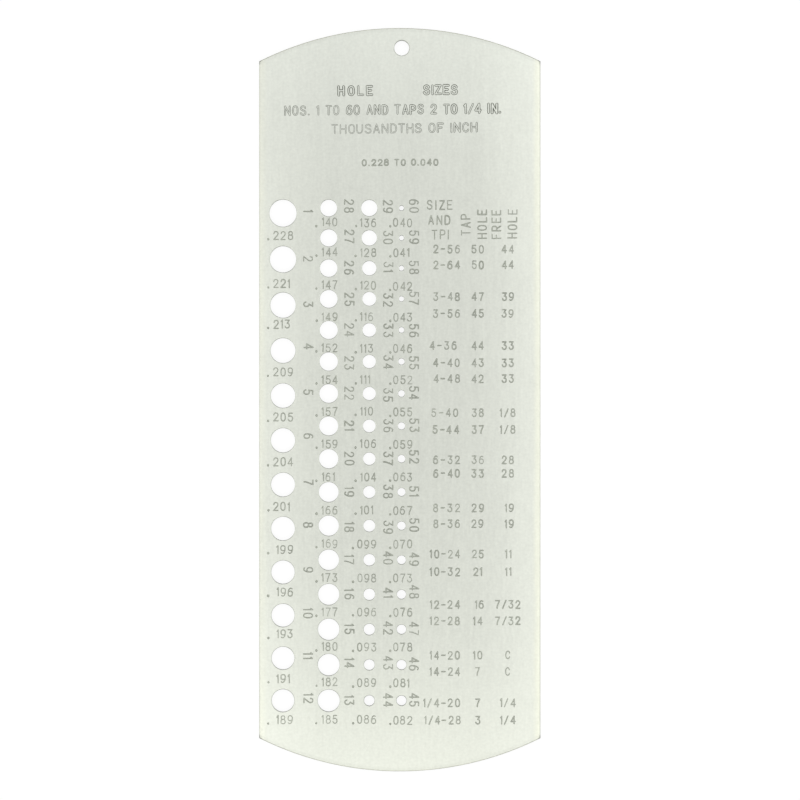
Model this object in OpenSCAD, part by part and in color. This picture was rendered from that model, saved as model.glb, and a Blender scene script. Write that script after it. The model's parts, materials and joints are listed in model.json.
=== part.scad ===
// Drill size gauge: one flat sheet-metal plate with curved ends, a hang hole
// and four columns of holes, one for each number drill from 1 to 60.
// The plate lies on its back: the marked face looks up, the hang hole is at +Y.
// All lengths are in millimetres unless a name says otherwise.

/* [Plate] */
// Width across the straight sides
plate_width = 60.3; // [54:0.1:80]
// Length from the tip of one curved end to the tip of the other
plate_length = 159.4; // [140:0.1:200]
// Thickness of the sheet
plate_thickness = 1.2; // [0.8:0.05:3]
// Radius of the curved ends
end_radius = 67.4; // [42:0.1:120]
// Radius that softens the outer edges of the sheet
edge_round = 0.2; // [0.05:0.01:0.35]

/* [Hang hole] */
// Diameter of the hang hole
hang_diameter = 3.2; // [2:0.1:5]
// Distance from the upper tip to the centre of the hang hole
hang_inset = 4.3; // [4:0.1:12]
// Distance of the hang hole to the right of the middle
hang_offset = 0.4; // [-2:0.1:2]

/* [Gauge holes] */
// Distance from the left side to the centre line of the first column
first_column_inset = 5.1; // [4.5:0.1:8]
// Distance from each column to the next one on its right
column_spacing = [9.8, 8.7, 6.9]; // [6:0.1:12]
// Number of holes in each column but the last, which takes the numbers that are left
column_count = [12, 16, 16]; // [11:1:17]
// Spacing of the two uppermost holes of each column
upper_pitch = [9.9, 6.4, 6.4, 6.4]; // [6:0.05:11]
// Spacing of the two lowest holes of each column
lower_pitch = [9.1, 7.68, 7.68, 7.68]; // [6:0.05:11]
// Distance from the lower tip to the lowest row of holes
lowest_row_inset = 15.2; // [12:0.1:20]
// How much wider each hole is than the drill that it gauges
gauge_allowance = 0.03; // [0:0.01:0.1]
// Bevel that breaks the sharp edge of every hole on both faces
hole_edge_break = 0.1; // [0.02:0.01:0.2]

/* [Hidden] */
$fn = 64;

mm_per_inch = 25.4;
// Distance that a cutting tool runs past the face it leaves
overshoot = 1;
steel = [0.83, 0.85, 0.81];

// Diameters of the number drills in inches, No. 1 first
drill_inches = [
    0.2280, 0.2210, 0.2130, 0.2090, 0.2055, 0.2040, 0.2010, 0.1990, 0.1960, 0.1935,
    0.1910, 0.1890, 0.1850, 0.1820, 0.1800, 0.1770, 0.1730, 0.1695, 0.1660, 0.1610,
    0.1590, 0.1570, 0.1540, 0.1520, 0.1495, 0.1470, 0.1440, 0.1405, 0.1360, 0.1285,
    0.1200, 0.1160, 0.1130, 0.1110, 0.1100, 0.1065, 0.1040, 0.1015, 0.0995, 0.0980,
    0.0960, 0.0935, 0.0890, 0.0860, 0.0820, 0.0810, 0.0785, 0.0760, 0.0730, 0.0700,
    0.0670, 0.0635, 0.0595, 0.0550, 0.0520, 0.0465, 0.0430, 0.0420, 0.0410, 0.0400,
];

last_column = len(column_count);

// Number of holes in a column
function holes_in(column) =
    column < last_column ? column_count[column] : len(drill_inches) - holes_before(column);

// How many holes the columns to the left of this one hold
function holes_before(column) = column == 0 ? 0 : holes_before(column - 1) + holes_in(column - 1);

// Distance from the left side to the centre line of a column
function column_inset(column) =
    column == 0 ? first_column_inset : column_inset(column - 1) + column_spacing[column - 1];

// Diameter of the hole that gauges one drill number
function gauge_diameter(number) = drill_inches[number - 1] * mm_per_inch + gauge_allowance;

// Drill number of a hole, counted up from the lowest row: the numbers run down
// the first column, up the second, down the third and up the fourth
function drill_number(column, up) =
    holes_before(column) + (column % 2 == 0 ? holes_in(column) - up : up + 1);

// Height of a hole above the lowest row, where the spacing changes by equal
// steps from the lowest pair to the uppermost pair
function row_height(column, up) =
    let (step = (upper_pitch[column] - lower_pitch[column]) / (holes_in(column) - 2))
    up * lower_pitch[column] + step * up * (up - 1) / 2;

// Centre of a gauge hole on the plate
function hole_centre(column, up) = [
    column_inset(column) - plate_width / 2,
    lowest_row_inset - plate_length / 2 + row_height(column, up),
    0,
];

// Cross-section of the sheet with rounded corners, from the origin to +X
module sheet_section(width) {
    translate([edge_round, 0]) square([width - 2 * edge_round, plate_thickness]);
    translate([0, edge_round]) square([width, plate_thickness - 2 * edge_round]);
    for (x = [edge_round, width - edge_round], y = [edge_round, plate_thickness - edge_round])
        translate([x, y]) circle(edge_round);
}

// Straight-sided strip that the plate is cut from, a little longer than the plate
module strip() {
    translate([-plate_width / 2, plate_length / 2 + overshoot, 0])
        rotate([90, 0, 0])
            linear_extrude(plate_length + 2 * overshoot) sheet_section(plate_width);
}

// Disc whose softened rim is the curved upper end of the plate
module end_disc() {
    rotate_extrude() {
        square([end_radius - edge_round, plate_thickness]);
        translate([end_radius - 4 * edge_round, 0]) sheet_section(4 * edge_round);
    }
}

// What is cropped off the upper end of the strip to leave its curve
module end_crop() {
    translate([0, plate_length / 2 - end_radius, 0])
        difference() {
            translate([-end_radius, 0, -overshoot])
                cube([2 * end_radius, end_radius + 2 * overshoot, plate_thickness + 2 * overshoot]);
            end_disc();
        }
}

// Tool for one hole: a straight bore that flares at both faces of the plate
module hole_cutter(diameter) {
    radius = diameter / 2;
    flare = radius + hole_edge_break + overshoot;
    rotate_extrude()
        polygon([
            [0, -overshoot],
            [flare, -overshoot],
            [radius, hole_edge_break],
            [radius, plate_thickness - hole_edge_break],
            [flare, plate_thickness + overshoot],
            [0, plate_thickness + overshoot],
        ]);
}

module hang_hole() {
    translate([hang_offset, plate_length / 2 - hang_inset, 0]) hole_cutter(hang_diameter);
}

module gauge_holes() {
    for (column = [0 : last_column], up = [0 : holes_in(column) - 1])
        translate(hole_centre(column, up)) hole_cutter(gauge_diameter(drill_number(column, up)));
}

module gauge_plate() {
    color(steel)
        difference() {
            strip();
            end_crop();
            mirror([0, 1, 0]) end_crop();
            hang_hole();
            gauge_holes();
        }
}

gauge_plate();
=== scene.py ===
"""Drill size gauge: a satin steel plate with graduated holes, struck with its numbers and sizes."""

import json
import math
import random

import bmesh
import bpy
from mathutils import Matrix, Vector


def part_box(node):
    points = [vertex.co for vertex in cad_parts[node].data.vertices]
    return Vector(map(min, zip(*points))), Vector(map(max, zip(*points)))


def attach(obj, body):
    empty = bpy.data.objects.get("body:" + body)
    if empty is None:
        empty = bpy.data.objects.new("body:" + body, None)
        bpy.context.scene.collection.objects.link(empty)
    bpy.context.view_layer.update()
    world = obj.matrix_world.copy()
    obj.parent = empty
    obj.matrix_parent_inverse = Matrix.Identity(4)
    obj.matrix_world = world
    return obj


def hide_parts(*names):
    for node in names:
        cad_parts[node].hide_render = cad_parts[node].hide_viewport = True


bl_info = {
    "name": "Drill Size Gauge",
    "version": (1, 0, 0),
    "blender": (4, 5, 0),
    "location": "3D View > Sidebar > Drill Gauge",
    "description": "Builds a flat steel drill gauge with struck numbers, and a studio to show it in",
    "category": "Object",
}

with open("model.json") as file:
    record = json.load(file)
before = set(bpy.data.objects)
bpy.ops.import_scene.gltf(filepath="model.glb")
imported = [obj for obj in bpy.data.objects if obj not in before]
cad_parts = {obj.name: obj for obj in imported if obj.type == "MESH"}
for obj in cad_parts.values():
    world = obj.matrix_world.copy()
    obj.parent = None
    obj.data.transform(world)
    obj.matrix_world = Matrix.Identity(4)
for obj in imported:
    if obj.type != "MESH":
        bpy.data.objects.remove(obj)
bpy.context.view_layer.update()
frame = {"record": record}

MM = 0.001
INCH = 25.4 * MM
PLATE = "gauge_plate"
STRUCK_PLATE = "gauge_plate_struck"
LOW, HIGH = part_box(PLATE)
WIDTH, LENGTH, THICKNESS = HIGH - LOW
FACE = HIGH.z

# A face whose normal is at least this upright is flat, and a bend of less than this is shaded smooth.
UPRIGHT = 0.9999
SMOOTH_BEND = math.radians(40)
# Heights that differ by less than this are level, and points closer than this are one.
LEVEL = 1e-7
WELD = 1e-8

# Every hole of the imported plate, from the record's bores: centre and radius by name.
HANG_HOLE = "hang_hole"
HOLES = {
    mount["name"]: (Vector(mount["pos_m"]).to_2d(), mount["dims"]["r_mm"] * MM)
    for mount in frame["record"]["mounts"]
    if mount["kind"] == "bore"
}

# Material slots of the plate.
SATIN, WALL, FLOOR, CUT, EDGE, TITLE = range(6)


# Lettering

# The field that each character is drawn on.
FIELD_WIDTH, FIELD_HEIGHT = 4, 6
# How square the ovals are, where an ellipse has 1 and less is squarer.
OVAL_POWER = 0.85
# Width of the space between words, in character widths.
SPACE_WIDTH = 0.55
# How far hand-set characters stray: shift and lift in millimetres, tilt in radians and weight as a share.
STRAY_SHIFT, STRAY_TILT, STRAY_LIFT, STRAY_WEIGHT = 0.03, 0.010, 0.014, 0.05
MOST_LIFT = 0.035


def line(*points):
    """A straight stroke."""
    return ("line", points)


def bend(*points):
    """A smooth stroke through the points."""
    return ("bend", points)


def oval(x, y, half_width, half_height):
    """A closed round stroke about a centre."""
    return ("oval", (x, y, half_width, half_height))


# Each character's width and strokes on its field.
CHARACTERS = {
    "0": (4, [oval(2, 3, 2, 3)]),
    "1": (1.1, [line((1.1, 0), (1.1, 6)), line((1.1, 6), (0, 4.9))]),
    "2": (4, [bend((0.1, 4.5), (0.6, 5.6), (2, 6), (3.5, 5.5), (3.9, 4.3), (3.2, 3), (1.5, 1.5), (0, 0)),
              line((0, 0), (4, 0))]),
    "3": (4, [line((0.2, 6), (3.8, 6)), line((3.8, 6), (1.9, 3.6)),
              bend((1.9, 3.6), (3.2, 3.3), (4, 1.9), (3.4, 0.5), (1.9, 0), (0.6, 0.4), (0, 1.4))]),
    "4": (4, [line((3.1, 0), (3.1, 6)), line((3.1, 6), (0, 1.7)), line((0, 1.7), (4.1, 1.7))]),
    "5": (4, [line((3.7, 6), (0.6, 6)), line((0.6, 6), (0.3, 3.3)),
              bend((0.3, 3.3), (1.2, 3.75), (2.3, 3.75), (3.6, 3.1), (4, 1.9), (3.4, 0.5), (1.9, 0),
                   (0.6, 0.4), (0, 1.4))]),
    "6": (4, [oval(2, 1.9, 2, 1.9), bend((0.05, 2.2), (0.25, 3.9), (1.2, 5.4), (2.4, 6), (3.6, 5.5))]),
    "7": (4, [line((0, 6), (4, 6)), bend((4, 6), (2.5, 3.3), (1.7, 1.5), (1.5, 0))]),
    "8": (4, [oval(2, 1.65, 2, 1.65), oval(2, 4.65, 1.65, 1.35)]),
    "9": (4, [oval(2, 4.1, 2, 1.9), bend((3.95, 3.8), (3.75, 2.1), (2.8, 0.6), (1.6, 0), (0.4, 0.5))]),
    ".": (0.4, [line((0.2, 0.1), (0.2, 0.15))]),
    "-": (3.4, [line((0, 3), (3.4, 3))]),
    "/": (3.4, [line((0, -0.2), (3.4, 6.2))]),
    "A": (4, [line((0, 0), (2, 6)), line((2, 6), (4, 0)), line((0.7, 2), (3.3, 2))]),
    "C": (4, [bend((3.9, 4.6), (3.3, 5.6), (2, 6), (0.6, 5.2), (0, 3), (0.6, 0.8), (2, 0), (3.3, 0.4), (3.9, 1.4))]),
    "D": (4, [line((0, 0), (0, 6)), bend((0, 6), (1.9, 6), (3.5, 5.1), (4, 3), (3.5, 0.9), (1.9, 0), (0, 0))]),
    "E": (3.7, [line((0, 0), (0, 6)), line((0, 6), (3.7, 6)), line((0, 3.1), (2.9, 3.1)), line((0, 0), (3.7, 0))]),
    "F": (3.7, [line((0, 0), (0, 6)), line((0, 6), (3.7, 6)), line((0, 3.1), (2.8, 3.1))]),
    "H": (4, [line((0, 0), (0, 6)), line((4, 0), (4, 6)), line((0, 3.1), (4, 3.1))]),
    "I": (0.4, [line((0.2, 0), (0.2, 6))]),
    "L": (3.6, [line((0, 6), (0, 0)), line((0, 0), (3.6, 0))]),
    "N": (4, [line((0, 0), (0, 6)), line((0, 6), (4, 0)), line((4, 0), (4, 6))]),
    "O": (4, [oval(2, 3, 2, 3)]),
    "P": (3.9, [line((0, 0), (0, 6)),
                bend((0, 6), (2.1, 6), (3.6, 5.4), (3.9, 4.4), (3.6, 3.3), (2.1, 2.7), (0, 2.7))]),
    "R": (4, [line((0, 0), (0, 6)),
              bend((0, 6), (2.1, 6), (3.6, 5.4), (3.9, 4.4), (3.6, 3.3), (2.1, 2.8), (0, 2.8)),
              line((2, 2.8), (4, 0))]),
    "S": (4, [bend((3.8, 4.8), (3.2, 5.7), (2, 6), (0.7, 5.6), (0.2, 4.6), (0.8, 3.6), (2, 3.1), (3.4, 2.6),
                   (4, 1.6), (3.4, 0.4), (2, 0), (0.7, 0.3), (0, 1.3))]),
    "T": (4, [line((0, 6), (4, 6)), line((2, 6), (2, 0))]),
    "U": (4, [bend((0, 6), (0, 4), (0, 2.2), (0.6, 0.6), (2, 0), (3.4, 0.6), (4, 2.2), (4, 4), (4, 6))]),
    "Z": (4, [line((0.1, 6), (3.9, 6)), line((3.9, 6), (0, 0)), line((0, 0), (4, 0))]),
}


def smooth_path(points, steps=2):
    """Points along a smooth curve through the given ones."""
    path = []
    for i in range(len(points) - 1):
        b, c = points[i], points[i + 1]
        a = points[i - 1] if i else b * 2 - c
        d = points[i + 2] if i + 2 < len(points) else c * 2 - b
        for k in range(steps):
            t = k / steps
            path.append(
                (b * 2 + (c - a) * t + (a * 2 - b * 5 + c * 4 - d) * t * t + (b * 3 - a - c * 3 + d) * t**3) / 2
            )
    path.append(points[-1])
    return path


def stroke_path(stroke):
    """The points that a stroke follows on its field, and whether it closes on itself."""
    kind, shape = stroke
    if kind == "oval":
        x, y, half_width, half_height = shape
        steps = 20 if half_height > 2.5 else 16
        path = []
        for i in range(steps):
            turn = math.tau * i / steps
            across, up = (math.copysign(abs(v) ** OVAL_POWER, v) for v in (math.cos(turn), math.sin(turn)))
            path.append(Vector((x + half_width * across, y + half_height * up)))
        return path, True
    points = [Vector(p) for p in shape]
    return (smooth_path(points) if kind == "bend" else points), False


class Mark:
    """One character to be struck: its strokes as paths on the plate, their weight and how far the punch stayed up."""

    def __init__(self, character, corner, cell, turn, weight, lift):
        self.weight = weight
        self.lift = lift
        self.paths = []
        rotation = Matrix.Rotation(turn, 2)
        for stroke in CHARACTERS[character][1]:
            path, closed = stroke_path(stroke)
            self.paths.append(([corner + rotation @ Vector((p.x * cell.x, p.y * cell.y)) for p in path], closed))


def lay_out(text, anchor, size, uneven, gap=0.0, turn=0.0, align="middle", weight=(1.0, 1.0), span=None):
    """Marks for a row of characters, in millimetres.

    The anchor is the row's left end, middle or right end at mid height, and the size a character's width and
    height over its strokes. Each character strays by random draws from uneven. The weight goes from the row's
    first value to its last. A span sets the gap itself.
    """
    lettering = settings().lettering
    spread = lettering.unevenness
    stroke = lettering.stroke_width / MM
    cell = Vector(((size[0] - stroke) / FIELD_WIDTH, (size[1] - stroke) / FIELD_HEIGHT))
    widths = [size[0] * SPACE_WIDTH if c == " " else CHARACTERS[c][0] * cell.x + stroke for c in text]
    if span:
        gap = (span - sum(widths)) / (len(text) - 1)
    total = sum(widths) + gap * (len(text) - 1)
    along = {"left": 0.0, "middle": -total / 2, "right": -total}[align] + stroke / 2
    rotation = Matrix.Rotation(turn, 2)
    marks = []
    for i, (character, width) in enumerate(zip(text, widths)):
        if character != " ":
            shift = Vector((uneven.gauss(0, STRAY_SHIFT), uneven.gauss(0, STRAY_SHIFT))) * spread
            tilt = uneven.gauss(0, STRAY_TILT) * spread
            lift = min(abs(uneven.gauss(0, STRAY_LIFT)) * spread, MOST_LIFT)
            swell = 1 + uneven.gauss(0, STRAY_WEIGHT) * spread
            corner = (Vector(anchor) + rotation @ (Vector((along, -FIELD_HEIGHT / 2 * cell.y)) + shift)) * MM
            part = i / max(len(text) - 1, 1)
            pressed = (weight[0] + (weight[1] - weight[0]) * part) * swell
            marks.append(Mark(character, corner, cell * MM, turn + tilt, pressed, lift * MM))
        along += width + gap
    return marks


# Making and cutting

# How far a groove's cutter stands above the face, and how much deeper each round of strokes goes, in millimetres.
CUTTER_ABOVE = 0.06
ROUND_STEP = 0.0015
# Room kept round a stroke, in half widths of it.
CLEARANCE = 1.3
# The rounded end of a stroke: turns of its steps from the tip inwards, and the tip's width as a share of the stroke's.
END_TURNS = (math.pi / 2, 1.1, 0.6)
TIP_WIDTH = 0.12
# A face of a cutter whose normal points further down than this makes a groove's floor.
DOWNWARD = -0.9


def settings():
    return bpy.context.scene.drill_gauge


def new_object(name, data):
    made = bpy.data.objects.new(name, data)
    bpy.context.scene.collection.objects.link(made)
    return made


def mesh_from(bm, name):
    mesh = bpy.data.meshes.new(name)
    bm.to_mesh(mesh)
    bm.free()
    return mesh


def finished_mesh(thing):
    """A mesh of an object as its modifiers or its curve settings make it."""
    return bpy.data.meshes.new_from_object(thing.evaluated_get(bpy.context.evaluated_depsgraph_get()))


def cut(plate, cutter_mesh):
    """Takes the cutter's volume out of the plate. The new faces keep the cutter's material slots."""
    for material in plate.data.materials:
        cutter_mesh.materials.append(material)
    cutter = new_object("cutter", cutter_mesh)
    modifier = plate.modifiers.new("cut", "BOOLEAN")
    modifier.operation = "DIFFERENCE"
    modifier.solver = "MANIFOLD"
    modifier.object = cutter
    result = finished_mesh(plate)
    plate.modifiers.remove(modifier)
    old = plate.data
    plate.data = result
    bpy.data.meshes.remove(old)
    bpy.data.objects.remove(cutter)
    bpy.data.meshes.remove(cutter_mesh)
    if len(result.polygons) == 0:
        raise RuntimeError("the cut left nothing of the plate")


def shade(plate):
    """Smooth shading on the rounded edges and grooves, with the flat faces kept flat.

    Each face also keeps how far it looks up or down the plate, which the finishes use.
    """
    bm = bmesh.new()
    bm.from_mesh(plate.data)
    facing = bm.faces.layers.float.get("facing") or bm.faces.layers.float.new("facing")
    flat = {face: abs(face.normal.z) > UPRIGHT for face in bm.faces}
    for face in bm.faces:
        face.smooth = True
        face[facing] = face.normal.y
    for edge in bm.edges:
        sides = [flat[face] for face in edge.link_faces]
        edge.smooth = len(sides) == 2 and sides[0] == sides[1] and edge.calc_face_angle(0.0) < SMOOTH_BEND
    bm.to_mesh(plate.data)
    bm.free()


def groove_section(lettering, floor_width):
    """Cross-section of a struck groove: sloping walls and a flat floor."""
    half, floor, depth = lettering.stroke_width / 2, floor_width / 2, lettering.strike_depth
    above = CUTTER_ABOVE * MM
    corners = [(-half, above), (-half, 0), (-floor, -depth), (floor, -depth), (half, 0), (half, above)]
    data = bpy.data.curves.new("groove_section", "CURVE")
    data.dimensions = "2D"
    spline = data.splines.new("POLY")
    spline.points.add(len(corners) - 1)
    for point, corner in zip(spline.points, corners):
        point.co = (*corner, 0, 1)
    spline.use_cyclic_u = True
    return new_object("groove_section", data)


def add_stroke(curve, path, closed, half, weight, height):
    """Adds one stroke to a curve, with its open ends rounded off."""
    points = [(p, weight) for p in path]
    if not closed:
        reach = half * weight
        ends = []
        for tip, inner in ((path[0], path[1]), (path[-1], path[-2])):
            out = (tip - inner).normalized() * reach
            ends.append([(tip + out * math.sin(a), weight * max(math.cos(a), TIP_WIDTH)) for a in END_TURNS])
        points = ends[0] + points + ends[1][::-1]
    spline = curve.splines.new("POLY")
    spline.points.add(len(points) - 1)
    for point, (place, radius) in zip(spline.points, points):
        point.co = (place.x, place.y, height, 1)
        point.radius = radius
    spline.use_cyclic_u = closed


def clear_of(box, others):
    """Whether a box, given as its least and greatest X and Y, overlaps none of the others."""
    return all(box[0] > o[2] or box[2] < o[0] or box[1] > o[3] or box[3] < o[1] for o in others)


def strike(plate, marks, floor_width, wall_slot=WALL, floor_slot=FLOOR):
    """Presses the marks into the plate's face, as grooves with the given floor width and material slots.

    Strokes that cross or come close are pressed in rounds, one after another and each a little deeper.
    """
    lettering = settings().lettering
    half = lettering.stroke_width / 2
    rounds = []
    for mark in marks:
        margin = half * mark.weight * CLEARANCE
        for path, closed in mark.paths:
            box = (
                min(p.x for p in path) - margin,
                min(p.y for p in path) - margin,
                max(p.x for p in path) + margin,
                max(p.y for p in path) + margin,
            )
            for entries in rounds:
                if clear_of(box, [e[0] for e in entries]):
                    break
            else:
                entries = []
                rounds.append(entries)
            entries.append((box, path, closed, mark))
    section = groove_section(lettering, floor_width)
    for order, entries in enumerate(rounds):
        curve = bpy.data.curves.new("strokes", "CURVE")
        curve.dimensions = "3D"
        curve.twist_mode = "Z_UP"
        curve.bevel_mode = "OBJECT"
        curve.bevel_object = section
        curve.use_fill_caps = True
        for _, path, closed, mark in entries:
            add_stroke(curve, path, closed, half, mark.weight, FACE + mark.lift - order * ROUND_STEP * MM)
        strokes = new_object("strokes", curve)
        mesh = finished_mesh(strokes)
        bpy.data.objects.remove(strokes)
        bpy.data.curves.remove(curve)
        bm = bmesh.new()
        bm.from_mesh(mesh)
        bpy.data.meshes.remove(mesh)
        bmesh.ops.remove_doubles(bm, verts=bm.verts, dist=WELD)
        bmesh.ops.recalc_face_normals(bm, faces=bm.faces)
        for face in bm.faces:
            face.material_index = floor_slot if face.normal.z < DOWNWARD else wall_slot
        cut(plate, mesh_from(bm, "grooves"))
    data = section.data
    bpy.data.objects.remove(section)
    bpy.data.curves.remove(data)
    shade(plate)


def the_plate():
    plate = bpy.data.objects.get(STRUCK_PLATE)
    if plate is None:
        raise RuntimeError("make the plate first")
    return plate


# Finishes


class Finish:
    """A material under construction: each call adds a node wired to earlier ones."""

    def __init__(self, name):
        self.material = bpy.data.materials.new(name)
        self.material.use_nodes = True
        self.tree = self.material.node_tree
        self.shader = self.tree.nodes["Principled BSDF"]
        self.place = self.tree.nodes.new("ShaderNodeTexCoord").outputs["Object"]

    def add(self, kind, inputs, output=0, **options):
        node = self.tree.nodes.new(kind)
        for name, value in options.items():
            setattr(node, name, value)
        for name, value in inputs.items():
            self.feed(node.inputs[name], value)
        return node.outputs[output]

    def feed(self, socket, value):
        if isinstance(value, bpy.types.NodeSocket):
            self.tree.links.new(value, socket)
        else:
            socket.default_value = value

    def surface(self, name, value):
        """Sets or wires one of the shader's own sockets."""
        self.feed(self.shader.inputs[name], value)

    def metal(self):
        """The material, once its surface is set, as bare metal."""
        self.surface("Metallic", 1.0)
        return self.material

    def axes(self):
        """Where a point of the piece lies along X, Y and Z."""
        return self.add("ShaderNodeSeparateXYZ", {0: self.place}).node.outputs

    def math(self, operation, a, b=0.0):
        return self.add("ShaderNodeMath", {0: a, 1: b}, operation=operation)

    def noise(self, length, detail=2.0, rough=0.5, turn=0.0, shift=(0, 0, 0)):
        """Noise whose features have about the given lengths in millimetres along X, Y and Z."""
        turned = self.add("ShaderNodeMapping", {"Vector": self.place, "Rotation": (0, 0, turn)})
        place = self.add(
            "ShaderNodeMapping", {"Vector": turned, "Location": shift, "Scale": [1 / (v * MM) for v in length]}
        )
        return self.add("ShaderNodeTexNoise", {"Vector": place, "Scale": 1.0, "Detail": detail, "Roughness": rough})

    def spread(self, value, low, high, to_low=0.0, to_high=1.0, smooth=False):
        """Maps a range of values to another, held at both ends."""
        return self.add(
            "ShaderNodeMapRange",
            {"Value": value, "From Min": low, "From Max": high, "To Min": to_low, "To Max": to_high},
            interpolation_type="SMOOTHSTEP" if smooth else "LINEAR",
        )

    def sum(self, *parts, start=0.5):
        """Adds to a starting value what each part, given as (value, share), departs from one half."""
        total = start
        for value, share in parts:
            total = self.add(
                "ShaderNodeMath", {0: self.math("SUBTRACT", value, 0.5), 1: share, 2: total}, operation="MULTIPLY_ADD"
            )
        return total

    def between(self, factor, dark, light):
        return self.add(
            "ShaderNodeMix", {"Factor": factor, 6: (*dark, 1), 7: (*light, 1)}, output=2, data_type="RGBA"
        )

    def bump(self, height, depth):
        """Normals of a surface whose height goes up to the given depth in millimetres."""
        return self.add("ShaderNodeBump", {"Strength": 1.0, "Distance": depth * MM, "Height": height})


def tinted(colour, factor):
    """The colour made lighter or darker."""
    return [min(channel * factor, 1.0) for channel in colour]


def edge_wear(finish, end_radius):
    """Masks of polish and painted light near the edges, each from 0 up.

    These are polished edges that also carry painted highlight, the right one most, painted highlight in broad strips
    down both sides, and painted shade in strips along the curved ends.
    """
    side = WIDTH / 2
    parts = finish.axes()
    across = finish.math("ABSOLUTE", parts["X"])
    along = finish.math("SUBTRACT", finish.math("ABSOLUTE", parts["Y"]), LENGTH / 2 - end_radius)
    reach = finish.add(
        "ShaderNodeVectorMath", {0: finish.add("ShaderNodeCombineXYZ", {"X": across, "Y": along})}, output="Value",
        operation="LENGTH",
    )
    edge = finish.spread(across, side - 2.0 * MM, side - 0.3 * MM, smooth=True)
    # The right edge gets the most, as painted highlight.
    edge = finish.math("MULTIPLY", edge, finish.spread(parts["X"], -side, side, 0.6, 1.4))
    side_highlight = finish.spread(across, side - 16 * MM, side, smooth=True)
    end = finish.spread(reach, end_radius - 1.0 * MM, end_radius - 0.5 * MM, smooth=True)
    return edge, side_highlight, end


def corner_height():
    """How far the corners lie from the middle of the plate, along it."""
    radius = settings().plate.end_radius
    return LENGTH / 2 - radius + math.sqrt(radius**2 - WIDTH**2 / 4)


def corner_grime(finish):
    """Darker on the tips of the four corners, from 0 to 1."""
    side, tip = WIDTH / 2, corner_height()
    parts = finish.axes()
    across = finish.spread(finish.math("ABSOLUTE", parts["X"]), side - 0.7 * MM, side - 0.1 * MM)
    along = finish.spread(finish.math("ABSOLUTE", parts["Y"]), tip - 0.9 * MM, tip - 0.1 * MM)
    return finish.math("MULTIPLY", across, along)


def scratches(finish, turn, shift):
    """Sparse fine lines across the grain, from 0 to 1."""
    lines = finish.spread(finish.noise((0.16, 16, 1), detail=1, turn=turn, shift=shift), 0.70, 0.78)
    return finish.math("MULTIPLY", lines, finish.spread(finish.noise((7, 7, 7), shift=shift), 0.48, 0.60))


def satin_steel(colour, grain_strength, end_radius):
    """Brushed faces: fine grain along the plate, longer streaks, slow mottling, faint scratches, polished edges with
    painted highlight, painted highlight down both sides and painted shade along the ends.
    """
    finish = Finish("satin_steel")
    grain = finish.noise((0.55, 2.2, 1), detail=2)
    tooth = finish.noise((0.6, 0.5, 1), detail=1, shift=(4, 6, 0))
    streaks = finish.noise((0.85, 38, 1), detail=4, rough=0.65, shift=(7, 3, 0))
    mottle = finish.noise((9, 14, 9), detail=4, rough=0.55, shift=(2, 5, 1))
    edge, side_highlight, end = edge_wear(finish, end_radius)
    patches = finish.spread(finish.noise((2, 9, 2), detail=3), 0.3, 0.6, 0.6, 1.1)
    polish_and_highlight = finish.math("MULTIPLY", edge, patches)
    painted_shade = finish.math("MULTIPLY", end, patches)
    marred = finish.math("SUBTRACT", scratches(finish, 0.5, (3, 8, 0)), scratches(finish, -0.25, (5, 1, 0)))
    tone = finish.sum(
        (grain, 0.30 * grain_strength), (tooth, 0.36 * grain_strength), (streaks, 0.2 * grain_strength), (mottle, 0.16),
        start=0.375,
    )
    # Painted light: highlight with the polish at the edges and down both sides, shade along the ends; then scratches
    # and darker corner tips.
    for tone_part, share in ((polish_and_highlight, 0.19), (side_highlight, 0.165), (painted_shade, -0.13), (marred, 0.14), (corner_grime(finish), -0.5)):
        tone = finish.math("ADD", tone, finish.math("MULTIPLY", tone_part, share))
    steel = finish.between(tone, tinted(colour, 0.85), tinted(colour, 1.25))
    # Where the polish and painted highlight brighten it at the edges, it also looks yellower.
    yellowed = finish.add("ShaderNodeCombineXYZ", {
        "X": finish.spread(polish_and_highlight, 0, 1, 1.0, 1.01), "Y": 1.0, "Z": finish.spread(polish_and_highlight, 0, 1, 1.0, 0.95),
    })
    finish.surface("Base Color", finish.add("ShaderNodeVectorMath", {0: steel, 1: yellowed}, operation="MULTIPLY"))
    sheen = finish.sum((streaks, 0.8), (grain, 0.5), (mottle, 0.6))
    finish.surface("Roughness", finish.spread(sheen, 0, 1, 0.33, 0.45))
    finish.surface("Normal", finish.bump(finish.sum((grain, 0.8), (streaks, 0.6)), 0.004))
    return finish.metal()


def struck_steel(name, colour, roughness):
    """Inside the struck lines: pressed metal with uneven tone and roughness, in a colour given darker than the face as
    painted shade.
    """
    finish = Finish(name)
    dirt = finish.noise((0.5, 0.7, 0.5), detail=4, rough=0.6)
    patches = finish.noise((6, 9, 6), detail=2)
    tone = finish.sum((dirt, 1.2), (patches, 0.8))
    finish.surface("Base Color", finish.between(tone, tinted(colour, 0.8), tinted(colour, 1.2)))
    finish.surface("Roughness", finish.spread(dirt, 0.2, 0.8, roughness - 0.08, roughness + 0.08))
    finish.surface("Normal", finish.bump(dirt, 0.006))
    return finish.metal()


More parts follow.
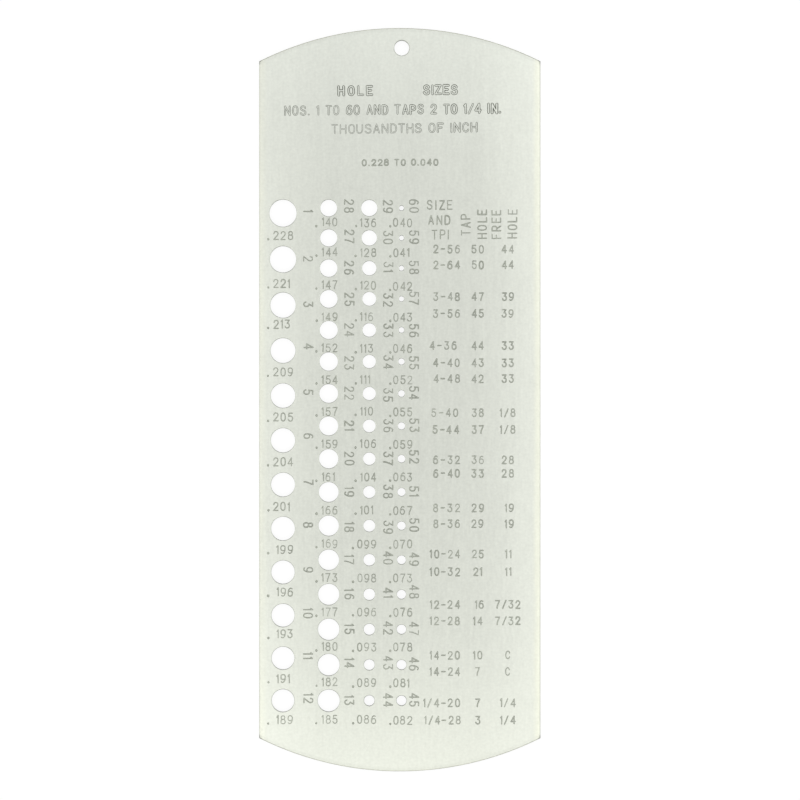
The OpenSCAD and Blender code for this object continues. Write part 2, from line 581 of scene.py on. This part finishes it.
def cut_steel(name, colour, roughness, painted_shade, hang_hole_light_and_shade):
    """Hole walls and outer edges: cut metal with fine lines left by the tool all round it.

    Painted shade makes it darker where it looks up and down the plate, by the two amounts given for that. At the height
    of the hang hole the two amounts given for it hold instead, as painted shade, and less than 0 is painted highlight.
    """
    finish = Finish(name)
    rings = finish.noise((3, 3, 0.06), detail=3, rough=0.6)
    patches = finish.noise((1.5, 1.5, 0.8), detail=2)
    tone = finish.sum((rings, 0.25), (patches, 0.25))
    facing = finish.add("ShaderNodeAttribute", {}, output="Fac", attribute_name="facing")
    hang, radius = HOLES[HANG_HOLE]
    rim_reach = radius + 0.3 * MM
    at_hang_hole = finish.add(
        "ShaderNodeMath", {0: finish.axes()["Y"], 1: hang.y, 2: rim_reach}, operation="COMPARE"
    )
    # Painted shade on the faces that look up and down the plate; at the hang hole painted shade, or painted highlight
    # below 0.
    for side, elsewhere, there in zip((1, -1), painted_shade, hang_hole_light_and_shade):
        amount = finish.spread(at_hang_hole, 0, 1, elsewhere, there)
        tone = finish.math("SUBTRACT", tone, finish.spread(facing, 0.25 * side, 0.65 * side, 0.0, amount))
    tone = finish.math("SUBTRACT", tone, finish.math("MULTIPLY", corner_grime(finish), 0.8))
    finish.surface("Base Color", finish.between(tone, tinted(colour, 0.5), tinted(colour, 1.5)))
    finish.surface("Roughness", finish.spread(patches, 0.2, 0.8, roughness - 0.07, roughness + 0.07))
    finish.surface("Normal", finish.bump(rings, 0.003))
    return finish.metal()


# Settings


class PlateSizes(bpy.types.PropertyGroup):
    end_radius: bpy.props.FloatProperty(
        name="End radius", description="Radius of the curved ends", default=67.4 * MM, unit="LENGTH", precision=5
    )
    edge_round: bpy.props.FloatProperty(
        name="Edge rounding", description="Radius of the softened outer edges", default=0.2 * MM, unit="LENGTH",
        precision=5,
    )
    hole_round: bpy.props.FloatProperty(
        name="Hole edge rounding", description="Radius of the softened edges of the holes", default=0.15 * MM,
        unit="LENGTH", precision=5,
    )
    hang_round: bpy.props.FloatProperty(
        name="Hang hole rounding", description="Radius of the worn edges of the hang hole", default=0.2 * MM,
        unit="LENGTH", precision=5,
    )
    allowance: bpy.props.FloatProperty(
        name="Gauge allowance", description="How much a hole is wider than the drill it is for", default=0.03 * MM,
        unit="LENGTH", precision=5,
    )


class LetteringSizes(bpy.types.PropertyGroup):
    stroke_width: bpy.props.FloatProperty(
        name="Stroke width", description="Width of a struck line at the face", default=0.30 * MM, unit="LENGTH",
        precision=5,
    )
    floor_width: bpy.props.FloatProperty(
        name="Floor width", description="Width of the flat floor of a struck line", default=0.09 * MM, unit="LENGTH",
        precision=5,
    )
    title_floor_width: bpy.props.FloatProperty(
        name="Title floor width", description="Width of the bright flat floor of a line of the titles",
        default=0.13 * MM, unit="LENGTH", precision=5,
    )
    strike_depth: bpy.props.FloatProperty(
        name="Strike depth", description="Depth of a struck line", default=0.10 * MM, unit="LENGTH", precision=5
    )
    unevenness: bpy.props.FloatProperty(
        name="Unevenness", description="How much the hand-set characters stray from their rows", default=1.0, min=0.0,
        max=2.0, subtype="FACTOR",
    )


class SteelFinish(bpy.types.PropertyGroup):
    satin_colour: bpy.props.FloatVectorProperty(
        name="Satin steel", description="Colour of the brushed faces", subtype="COLOR", size=3,
        default=(0.624, 0.642, 0.587),
    )
    # Given darker than the face, as painted shade on the walls of the struck lines.
    wall_colour: bpy.props.FloatVectorProperty(
        name="Struck walls", description="Colour of the walls of the struck lines", subtype="COLOR", size=3,
        default=(0.455, 0.473, 0.419),
    )
    # Given darker than the face, as painted shade on the floors of the struck lines.
    floor_colour: bpy.props.FloatVectorProperty(
        name="Struck floors", description="Colour of the floors of the struck lines", subtype="COLOR", size=3,
        default=(0.43, 0.447, 0.4),
    )
    # Given much darker than the face, as painted shade on the walls of the title lines.
    title_colour: bpy.props.FloatVectorProperty(
        name="Title walls", description="Colour of the walls of the lines in the titles", subtype="COLOR", size=3,
        default=(0.27, 0.281, 0.248),
    )
    cut_colour: bpy.props.FloatVectorProperty(
        name="Cut steel", description="Colour of the walls and rims of the holes", subtype="COLOR", size=3,
        default=(0.58, 0.598, 0.54),
    )
    edge_colour: bpy.props.FloatVectorProperty(
        name="Sheared edge", description="Colour of the dull edge round the plate", subtype="COLOR", size=3,
        default=(0.65, 0.665, 0.578),
    )
    grain_strength: bpy.props.FloatProperty(
        name="Grain", description="Strength of the brushed grain", default=1.0, min=0.0, max=3.0, subtype="FACTOR"
    )


class DrillGaugeSettings(bpy.types.PropertyGroup):
    plate: bpy.props.PointerProperty(type=PlateSizes)
    lettering: bpy.props.PointerProperty(type=LetteringSizes)
    finish: bpy.props.PointerProperty(type=SteelFinish)


# Operators


class DRILLGAUGE_OT_plate(bpy.types.Operator):
    """Make the plate: a blank with curved ends, drilled with its holes"""

    bl_idname = "drillgauge.plate"
    bl_label = "Make Plate"

    # Steps of each curved end, and of the rounding of the outer edges.
    end_steps, edge_steps = 64, 3
    # The faces are split into small fields, so that no field holds more than a few holes and characters. For each
    # direction: its axis, half the plate's size and the number of fields. The first field starts a little outside.
    fields = (((1, 0, 0), WIDTH / 2, 8), ((0, 1, 0), LENGTH / 2, 20))
    field_start = -1.003
    # Turns of the steps of a hole's rounded rim on the face, in degrees. The back leaves out the second.
    rim_turns = (0, 30, 60, 90)
    # How far a hole's cutter runs past both faces.
    cutter_over = 0.3 * MM

    def execute(self, context):
        sizes, finish = settings().plate, settings().finish
        plate = new_object(STRUCK_PLATE, self.blank(sizes))
        for material in (
            satin_steel(finish.satin_colour, finish.grain_strength, sizes.end_radius),
            struck_steel("struck_walls", finish.wall_colour, roughness=0.45),
            struck_steel("struck_floors", finish.floor_colour, roughness=0.38),
            # The holes get painted shade where they look up and down the plate and painted shade and highlight at the
            # hang hole; the outer edge a little painted shade round the curved ends.
            cut_steel("cut_steel", finish.cut_colour, roughness=0.31, painted_shade=(0.5, 0.36), hang_hole_light_and_shade=(-0.3, 1.0)),
            cut_steel("sheared_edge", finish.edge_colour, roughness=0.42, painted_shade=(0.1, 0.1), hang_hole_light_and_shade=(0.1, 0.1)),
            struck_steel("title_walls", finish.title_colour, roughness=0.45),
        ):
            plate.data.materials.append(material)
        cut(plate, self.hole_cutters(sizes))
        shade(plate)
        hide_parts(PLATE)
        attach(plate, "root")
        return {"FINISHED"}

    def blank(self, sizes):
        """The undrilled plate: its outline from two spun arcs, raised and softened along its edges."""
        bm = bmesh.new()
        radius = sizes.end_radius
        half_turn = math.asin(WIDTH / 2 / radius)
        centre_y = LENGTH / 2 - radius
        ends = []
        for side in (1, -1):
            start = bmesh.ops.create_vert(bm, co=(side * WIDTH / 2, side * corner_height(), LOW.z))["vert"][0]
            spun = bmesh.ops.spin(
                bm, geom=[start], cent=(0, side * centre_y, LOW.z), axis=(0, 0, 1), angle=2 * half_turn,
                steps=self.end_steps,
            )
            ends.append((start, next(v for v in spun["geom_last"] if isinstance(v, bmesh.types.BMVert))))
        bmesh.ops.contextual_create(bm, geom=[ends[0][1], ends[1][0]])
        bmesh.ops.contextual_create(bm, geom=[ends[1][1], ends[0][0]])
        outline = bmesh.ops.contextual_create(bm, geom=bm.edges[:])["faces"]
        raised = bmesh.ops.extrude_face_region(bm, geom=outline)["geom"]
        bmesh.ops.translate(bm, verts=[v for v in raised if isinstance(v, bmesh.types.BMVert)], vec=(0, 0, THICKNESS))
        bmesh.ops.recalc_face_normals(bm, faces=bm.faces)
        rims = [e for e in bm.edges if abs(e.verts[0].co.z - e.verts[1].co.z) < LEVEL]
        bmesh.ops.bevel(
            bm, geom=rims, offset=sizes.edge_round, offset_type="OFFSET", segments=self.edge_steps, profile=0.5,
            affect="EDGES", material=-1, clamp_overlap=False,
        )
        for face in bm.faces:
            face.material_index = SATIN if abs(face.normal.z) > UPRIGHT else EDGE
        for axis, reach, count in self.fields:
            for i in range(1, count):
                bmesh.ops.bisect_plane(
                    bm, geom=bm.verts[:] + bm.edges[:] + bm.faces[:],
                    plane_co=Vector(axis) * reach * (2 * i / count + self.field_start), plane_no=axis, dist=LEVEL,
                )
        return mesh_from(bm, STRUCK_PLATE)

    def hole_cutters(self, sizes):
        """One spun cutter for each hole: a straight bore that opens into a rounded rim at both faces."""
        gathered = bmesh.new()
        turns = [math.radians(a) for a in self.rim_turns]
        for name, (centre, radius) in HOLES.items():
            rounding = sizes.hang_round if name == HANG_HOLE else sizes.hole_round
            # A wider hole takes more steps round it.
            steps = 36 if radius < 1 * MM else 48 if radius < 2 * MM else 64
            rim = [(radius + rounding * (1 - math.sin(a)), rounding * (1 - math.cos(a))) for a in turns]
            mouth = radius + rounding
            profile = [(mouth, -self.cutter_over), rim[0], *rim[2:]]
            profile += [(r, THICKNESS - z) for r, z in rim[::-1]] + [(mouth, THICKNESS + self.cutter_over)]
            bm = bmesh.new()
            verts = [bmesh.ops.create_vert(bm, co=(r, 0, LOW.z + z))["vert"][0] for r, z in profile]
            edges = [bm.edges.new(pair) for pair in zip(verts, verts[1:])]
            bmesh.ops.spin(
                bm, geom=verts + edges, cent=(0, 0, 0), axis=(0, 0, 1), angle=math.tau, steps=steps, use_merge=True
            )
            bmesh.ops.holes_fill(bm, edges=[e for e in bm.edges if e.is_boundary], sides=0)
            bmesh.ops.recalc_face_normals(bm, faces=bm.faces)
            bmesh.ops.translate(bm, verts=bm.verts, vec=(centre.x, centre.y, 0))
            for face in bm.faces:
                face.material_index = CUT
            cutter = mesh_from(bm, "hole_cutter")
            gathered.from_mesh(cutter)
            bpy.data.meshes.remove(cutter)
        return mesh_from(gathered, "hole_cutters")


class DRILLGAUGE_OT_hole_sizes(bpy.types.Operator):
    """Strike each hole's number beside it and its size, in thousandths of an inch, below it"""

    bl_idname = "drillgauge.hole_sizes"
    bl_label = "Strike Hole Sizes"

    # For each run of holes: its first and last number, then in millimetres from a hole's middle where its number
    # stands, where its size starts and where the size's point is, and last the weight of the size.
    runs = (
        (1, 12, (5.41, 0.5), -2.11, -3.15, 0.9),
        (13, 28, (4.41, 0.08), -2.20, -2.63, 0.79),
        (29, 38, (4.04, 0.08), -2.64, -2.92, 0.83),
        (39, 44, (4.04, 0.08), -2.62, -3.48, 0.83),
        (45, 60, (2.70, 0.15), -1.80, -2.42, 0.88),
    )
    # How far below the hole's middle the size is struck, for the first column hole by hole and for the others by row,
    # how much the rows slope, and how far the sizes in them are raised and stray, all in millimetres but the slope.
    first_drops = (4.8, 5.2, 4.1, 4.6, 4.6, 4.6, 4.7, 4.5, 4.3, 4.0, 4.4, 4.1)
    row_drops = (3.0, 3.1, 3.7) + (3.9,) * 9 + (3.75, 3.7, 3.8, 4.1)
    row_slope, row_raise, row_stray = -0.009, 0.05, 0.06
    # Width and height of a character in the numbers, in the sizes of the first column and in the other sizes.
    number_body, first_body, size_body = (1.24, 2.2), (1.22, 2.0), (1.17, 1.97)
    # Gaps between the characters of a number and of a size, and the weight of a size's point.
    number_gap, size_gap, point_weight = 0.45, 0.31, 1.75
    # A leading 1 stands this part of a character to the right, so that the second digits line up.
    leading_slack = 0.54
    # Numbers that stand higher than their place, or where negative lower, in millimetres.
    strays = {
        2: -0.35, 3: -0.25, 4: 0.4, 5: 0.25, 6: 0.4, 8: 0.25, 14: 0.4, 18: -0.35, 23: -0.4, 25: -0.2, 27: 0.2, 28: 0.4,
        29: 0.25, 31: 0.2, 32: -0.3, 33: -0.2, 34: -0.2, 35: -0.35, 39: -0.4, 40: 0.3, 41: 0.3, 42: 0.2, 43: 0.35,
        48: 0.45, 52: 0.3, 55: -0.4, 56: -0.25, 60: 0.25,
    }

    def execute(self, context):
        allowance = settings().plate.allowance
        uneven = random.Random(31)
        holes = {number: HOLES["drill_hole_%02d" % number] for number in range(1, 61)}
        # The second column's holes, from the top, set the rows.
        rows = [holes[number][0] / MM for number in range(28, 12, -1)]
        marks = []
        for first, last, beside, start, point, weight in self.runs:
            for number in range(first, last + 1):
                centre, radius = holes[number]
                x, y = centre / MM
                place = (x + beside[0], y + beside[1] + self.strays.get(number, 0.0))
                marks += lay_out(
                    str(number), place, self.number_body, uneven, gap=self.number_gap, turn=-math.pi / 2
                )
                # Half thousandths are left off, and the tenth makes up for rounding in the record.
                size = "%03d" % int((2 * radius - allowance) / INCH * 1000 + 0.1)
                if number <= len(self.first_drops):
                    below, body = y - self.first_drops[number - 1], self.first_body
                else:
                    row = min(range(len(rows)), key=lambda i: abs(rows[i].y - y))
                    below = rows[row].y - self.row_drops[row] + self.row_slope * (x - rows[row].x)
                    below, body = below + self.row_raise + uneven.gauss(0, self.row_stray), self.size_body
                slack = body[0] * self.leading_slack if size[0] == "1" else 0.0
                marks += lay_out(
                    size, (x + start + slack, below), body, uneven, gap=self.size_gap, align="left",
                    weight=(weight, weight),
                )
                marks += lay_out(".", (x + point, below), body, uneven, weight=(self.point_weight, self.point_weight))
        strike(the_plate(), marks, settings().lettering.floor_width)
        return {"FINISHED"}


class DRILLGAUGE_OT_tap_table(bpy.types.Operator):
    """Strike the table of thread sizes with the drill for each tapped hole and each free hole"""

    bl_idname = "drillgauge.tap_table"
    bl_label = "Strike Tap Table"

    # Height of each row on the plate in millimetres, thread, drill for the tapped hole and drill for the free hole.
    rows = (
        (32.3, "2-56", "50", "44"),
        (28.9, "2-64", "50", "44"),
        (22.1, "3-48", "47", "39"),
        (18.5, "3-56", "45", "39"),
        (11.6, "4-36", "44", "33"),
        (7.9, "4-40", "43", "33"),
        (4.5, "4-48", "42", "33"),
        (-2.8, "5-40", "38", "1/8"),
        (-6.4, "5-44", "37", "1/8"),
        (-12.9, "6-32", "36", "28"),
        (-15.8, "6-40", "33", "28"),
        (-23.2, "8-32", "29", "19"),
        (-26.6, "8-36", "29", "19"),
        (-33.1, "10-24", "25", "11"),
        (-36.9, "10-32", "21", "11"),
        (-43.9, "12-24", "16", "7/32"),
        (-47.4, "12-28", "14", "7/32"),
        (-54.8, "14-20", "10", "C"),
        (-58.3, "14-24", "7", "C"),
        (-65.0, "1/4-20", "7", "1/4"),
        (-68.7, "1/4-28", "3", "1/4"),
    )
    # Right end of the thread sizes, and middles of the two columns of drills.
    thread_end, tapped_middle, free_middle = 12.9, 16.69, 23.13
    # Width and height of a character in the rows and in the headings.
    row_body, heading_body = (1.13, 1.9), (1.28, 2.14)
    # Gaps between the characters of a thread size, of one that starts with a 1, of a drill and of a heading.
    thread_gap, narrow_gap, drill_gap, heading_gap = 0.46, 0.40, 0.38, 0.46
    # Text, place of its middle in millimetres and quarter turns.
    headings = (
        ("SIZE", (8.59, 41.75), 0),
        ("AND", (8.49, 38.55), 0),
        ("TPI", (8.71, 35.4), 0),
        ("TAP", (14.15, 37.5), 1),
        ("HOLE", (17.66, 37.66), 1),
        ("FREE", (20.69, 37.57), 1),
        ("HOLE", (24.14, 37.71), 1),
    )
    # Sizes that stand to the right of their column, or where negative to its left.
    strays = {"4-36": -0.7, "5-40": -0.4, "5-44": -0.2, "1/4-28": 0.2, "19": 0.32, "16": 0.32, "11": 0.1}

    def execute(self, context):
        uneven = random.Random(57)
        marks = []
        for y, thread, tapped, free in self.rows:
            for text, x, gap, align in (
                (thread, self.thread_end, self.narrow_gap if thread[0] == "1" else self.thread_gap, "right"),
                (tapped, self.tapped_middle, self.drill_gap, "middle"),
                (free, self.free_middle, self.drill_gap, "middle"),
            ):
                place = (x + self.strays.get(text, 0.0), y)
                marks += lay_out(text, place, self.row_body, uneven, gap=gap, align=align)
        for text, place, quarters in self.headings:
            turn = quarters * math.pi / 2
            marks += lay_out(text, place, self.heading_body, uneven, gap=self.heading_gap, turn=turn)
        strike(the_plate(), marks, settings().lettering.floor_width)
        return {"FINISHED"}


class DRILLGAUGE_OT_titles(bpy.types.Operator):
    """Strike the title rows at the head of the plate"""

    bl_idname = "drillgauge.titles"
    bl_label = "Strike Titles"

    # Text, middle in millimetres, character width and height, length of the row, weight from left to right and the
    # row's slope in degrees.
    rows = (
        ("HOLE", (-9.5, 66.24), (1.38, 2.1), 7.4, (1.85, 1.75), 0.7),
        ("SIZES", (8.68, 66.46), (1.38, 2.1), 7.4, (1.75, 1.85), 0.7),
        ("NOS. 1 TO 60 AND TAPS 2 TO 1/4 IN.", (-1.55, 62.22), (1.3, 2.13), 46.4, (1.2, 1.9), 0.7),
        ("THOUSANDTHS OF INCH", (0.96, 58.2), (1.46, 2.1), 31.3, (0.88, 1.42), 0.7),
        ("0.228 TO 0.040", (0.05, 50.88), (1.1, 1.52), 16.4, (1.15, 1.15), 0.3),
    )

    def execute(self, context):
        lettering = settings().lettering
        uneven = random.Random(83)
        *titles, range_row = [
            lay_out(text, place, size, uneven, turn=math.radians(slope), weight=weight, span=span)
            for text, place, size, span, weight, slope in self.rows
        ]
        # The titles' floors are as bright as the face. The range of sizes, the last row, is struck like the numbers.
        strike(the_plate(), sum(titles, []), lettering.title_floor_width, TITLE, SATIN)
        strike(the_plate(), range_row, lettering.floor_width)
        return {"FINISHED"}


class DRILLGAUGE_OT_stage(bpy.types.Operator):
    """Make the studio: floor, lights, world and camera"""

    bl_idname = "drillgauge.stage"
    bl_label = "Make Studio"

    # Each soft light: name, place and size in millimetres, its brightness, where the white room has 1, and colour.
    lights = (
        ("lower_light", (0, -142, 120), (100, 130), 0.75, (1, 1, 0.91)),
        ("upper_light", (5, 143.5, 110), (100, 123), 0.47, (0.97, 0.985, 1)),
        ("left_light", (-70, -15, 80), (60, 138), 0.63, (1, 1, 0.94)),
        ("right_light", (70, 10, 80), (60, 152), 0.72, (1, 1, 0.97)),
    )
    # The round floor, just below the plate.
    floor_radius, floor_steps, floor_gap = 3.0, 64, 0.02 * MM
    # The camera's height above the face, the width and the middle of what it shows there, and its sensor and reach.
    camera_height, picture_width, picture_middle = 1.2, 171.512 * MM, (0.035 * MM, -0.063 * MM)
    sensor_width, camera_reach = 36, (0.01, 20)

    def execute(self, context):
        scene = context.scene
        bm = bmesh.new()
        bmesh.ops.create_circle(bm, cap_ends=True, radius=self.floor_radius, segments=self.floor_steps)
        bmesh.ops.translate(bm, verts=bm.verts, vec=(0, 0, LOW.z - self.floor_gap))
        floor = new_object("floor", mesh_from(bm, "floor"))
        floor.data.materials.append(self.white_paper())
        scene.world = self.white_room()
        for name, place, size, brightness, colour in self.lights:
            data = bpy.data.lights.new(name, "AREA")
            data.shape = "RECTANGLE"
            data.size, data.size_y = (v * MM for v in size)
            data.energy = brightness * math.pi * data.size * data.size_y
            data.color = colour
            light = new_object(name, data)
            light.location = Vector(place) * MM
            light.visible_camera = False
        self.camera(scene)
        scene.view_settings.view_transform = "Standard"
        return {"FINISHED"}

    def camera(self, scene):
        """Looks straight down on the whole plate."""
        camera = new_object("camera", bpy.data.cameras.new("camera"))
        camera.data.sensor_width = self.sensor_width
        camera.data.lens = self.sensor_width * self.camera_height / self.picture_width
        camera.data.clip_start, camera.data.clip_end = self.camera_reach
        camera.location = (*self.picture_middle, FACE + self.camera_height)
        scene.camera = camera

    def white_room(self):
        """A white room, whose walls get dark low down beyond the two ends of the plate, the upper end most."""
        world = bpy.data.worlds.new("studio")
        world.use_nodes = True
        nodes, links = world.node_tree.nodes, world.node_tree.links

        def ramp(source, start, end, low, high):
            node = nodes.new("ShaderNodeMapRange")
            node.interpolation_type = "SMOOTHSTEP"
            for name, value in zip(("From Min", "From Max", "To Min", "To Max"), (start, end, low, high)):
                node.inputs[name].default_value = value
            links.new(source, node.inputs["Value"])
            return node.outputs[0]

        def product(a, b):
            node = nodes.new("ShaderNodeMath")
            node.operation = "MULTIPLY"
            links.new(a, node.inputs[0])
            links.new(b, node.inputs[1])
            return node.outputs[0]

        parts = nodes.new("ShaderNodeSeparateXYZ")
        links.new(nodes.new("ShaderNodeTexCoord").outputs["Generated"], parts.inputs[0])
        low_down = ramp(parts.outputs["Z"], 0.65, 0.2, 0.0, 1.0)
        upper = product(low_down, ramp(parts.outputs["Y"], 0.3, 0.85, 0.0, 0.95))
        lower = product(low_down, ramp(parts.outputs["Y"], -0.3, -0.85, 0.0, 0.75))
        strength = product(ramp(upper, 0.0, 1.0, 1.0, 0.0), ramp(lower, 0.0, 1.0, 1.0, 0.0))
        background = nodes["Background"]
        background.inputs["Color"].default_value = (1, 1, 1, 1)
        links.new(strength, background.inputs["Strength"])
        return world

    def white_paper(self):
        """White to the camera and in reflections.

        A little of that brightness is left to the light that falls on it, so that the plate's shadow shows.
        """
        finish = Finish("white_paper")
        rays = finish.tree.nodes.new("ShaderNodeLightPath").outputs
        seen = finish.math("MAXIMUM", rays["Is Camera Ray"], rays["Is Glossy Ray"])
        seen = finish.math("MAXIMUM", seen, rays["Is Transmission Ray"])
        fibres = finish.noise((0.4, 0.4, 0.4), detail=3)
        finish.surface("Base Color", finish.between(seen, (0.8, 0.8, 0.8), (0.13, 0.13, 0.13)))
        finish.surface("Roughness", finish.spread(fibres, 0.2, 0.8, 0.85, 0.95))
        finish.surface("Specular IOR Level", 0.0)
        finish.surface("Emission Color", (1, 1, 1, 1))
        finish.surface("Emission Strength", finish.math("MULTIPLY", seen, 0.88))
        return finish.material


class DRILLGAUGE_PT_panel(bpy.types.Panel):
    bl_label = "Drill Gauge"
    bl_idname = "DRILLGAUGE_PT_panel"
    bl_space_type = "VIEW_3D"
    bl_region_type = "UI"
    bl_category = "Drill Gauge"

    def draw(self, context):
        for group in (settings().plate, settings().lettering, settings().finish):
            box = self.layout.box()
            for name in group.__annotations__:
                box.prop(group, name)
        for operator in OPERATORS:
            self.layout.operator(operator.bl_idname)


OPERATORS = (
    DRILLGAUGE_OT_plate,
    DRILLGAUGE_OT_hole_sizes,
    DRILLGAUGE_OT_tap_table,
    DRILLGAUGE_OT_titles,
    DRILLGAUGE_OT_stage,
)
CLASSES = (PlateSizes, LetteringSizes, SteelFinish, DrillGaugeSettings, *OPERATORS, DRILLGAUGE_PT_panel)


def register():
    for cls in CLASSES:
        bpy.utils.register_class(cls)
    bpy.types.Scene.drill_gauge = bpy.props.PointerProperty(type=DrillGaugeSettings)


def unregister():
    del bpy.types.Scene.drill_gauge
    for cls in reversed(CLASSES):
        bpy.utils.unregister_class(cls)


def main():
    register()
    bpy.ops.drillgauge.plate()
    bpy.ops.drillgauge.hole_sizes()
    bpy.ops.drillgauge.tap_table()
    bpy.ops.drillgauge.titles()
    bpy.ops.drillgauge.stage()


if __name__ == "__main__":
    main()
